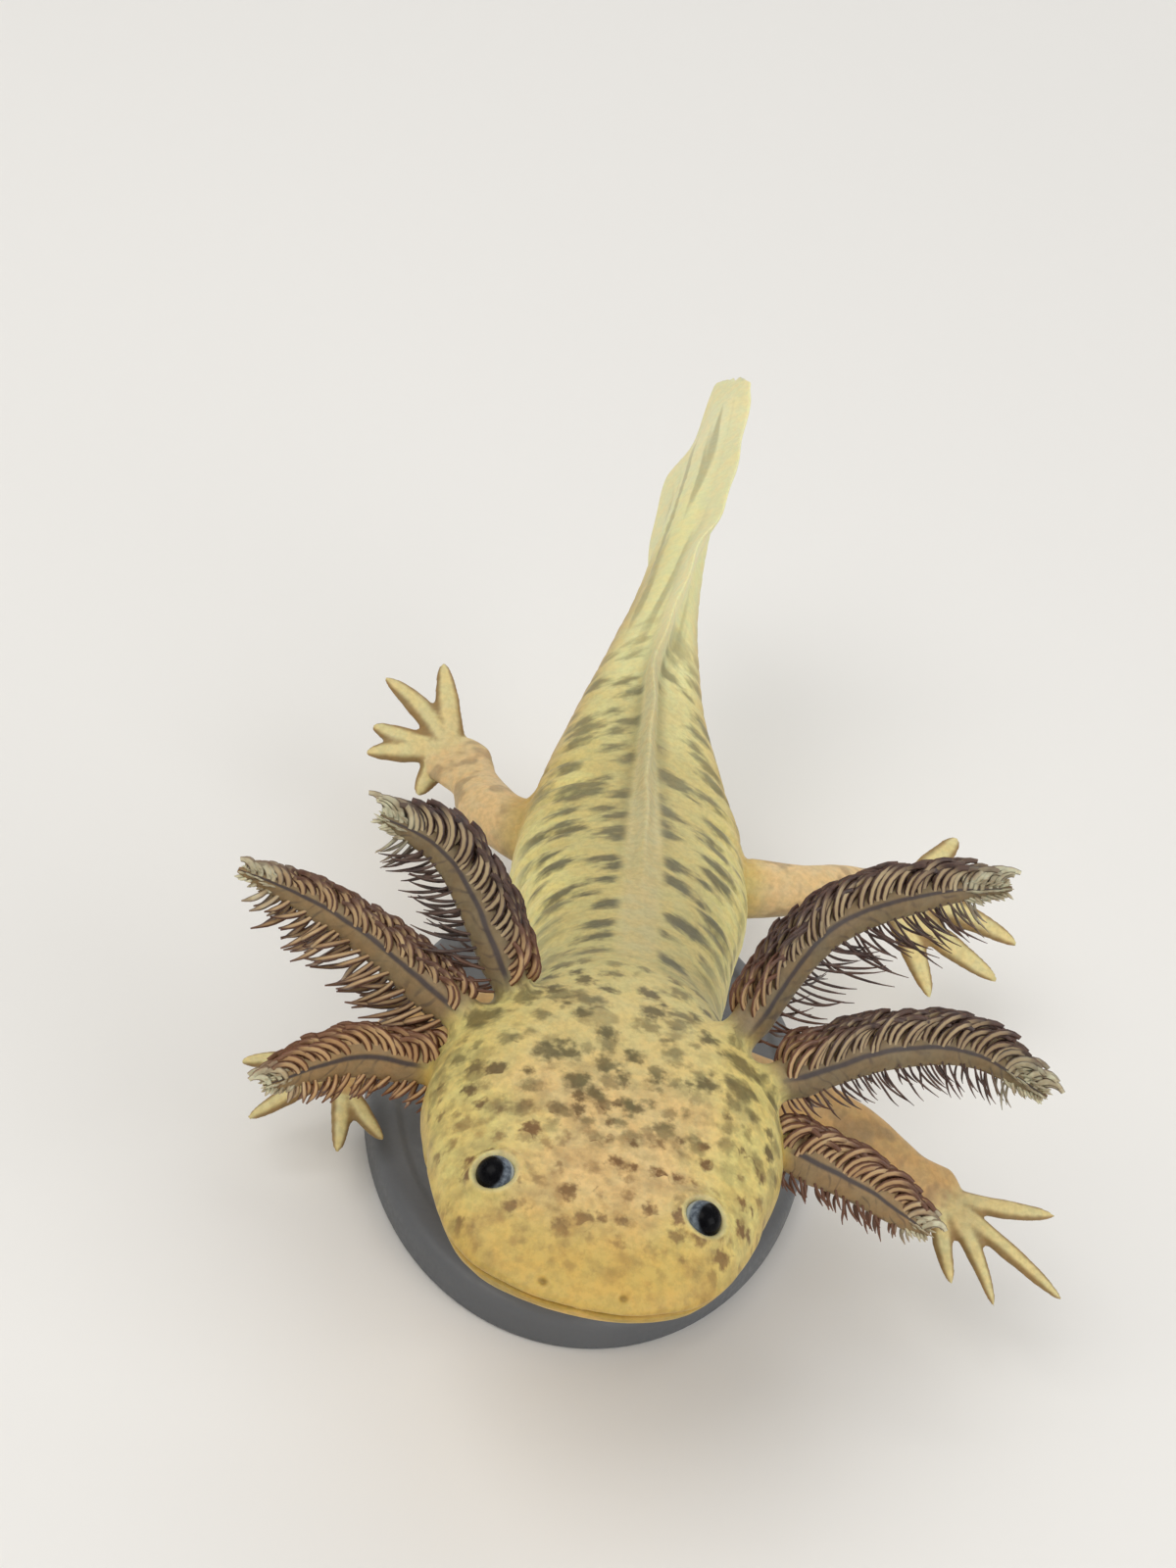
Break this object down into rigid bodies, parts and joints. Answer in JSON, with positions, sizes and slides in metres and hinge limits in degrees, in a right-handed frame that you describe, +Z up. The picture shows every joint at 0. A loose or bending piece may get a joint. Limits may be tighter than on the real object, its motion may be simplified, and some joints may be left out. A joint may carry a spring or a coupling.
{
  "type": "axolotl model",
  "caption": "Life-size still model of a swimming axolotl with feathery outer gills and spread legs, held over a small oval stand by short rods.",
  "frame": {"origin": "centre of the underside of the stand's oval base, on the surface it rests on", "axes": "+Z up, the head towards -Y and the tail towards +Y, the animal's left side towards +X"},
  "size_m": [0.0756, 0.1454, 0.0421],
  "materials": {
    "skin": "moist, smooth skin, olive-yellow with soft dark spots",
    "belly_skin": "moist, smooth, plain ochre-yellow skin",
    "fin_skin": "thin, slightly see-through pale yellow skin",
    "limb_skin": "moist peach-yellow skin with faint blotches",
    "gills": "soft, wet dark brown gill stalks with maroon filaments",
    "eyes": "glossy black eye with a thin pale ring",
    "stand_base": "satin dark slate",
    "stand_rods": "brushed"
  },
  "bodies": {
    "root": {"head": "skin", "lower_jaw": "belly_skin", "throat": "belly_skin", "eye_left": "eyes", "eye_right": "eyes", "gill_left_upper": "gills", "gill_left_middle": "gills", "gill_left_lower": "gills", "gill_right_upper": "gills", "gill_right_middle": "gills", "gill_right_lower": "gills", "neck": "skin", "trunk_front": "skin", "trunk_rear": "skin", "tail_root": "skin", "tail_middle": "skin", "tail_tip": "skin", "fin_back": "fin_skin", "fin_tail_upper": "fin_skin", "fin_tail_lower": "fin_skin", "upper_arm_left": "limb_skin", "forearm_left": "limb_skin", "hand_left": "limb_skin", "upper_arm_right": "limb_skin", "forearm_right": "limb_skin", "hand_right": "limb_skin", "thigh_left": "limb_skin", "shank_left": "limb_skin", "foot_left": "limb_skin", "thigh_right": "limb_skin", "shank_right": "limb_skin", "foot_right": "limb_skin", "stand_base": "stand_base", "stand_rod_front": "stand_rods", "stand_rod_rear": "stand_rods"}
  },
  "joints": []
}
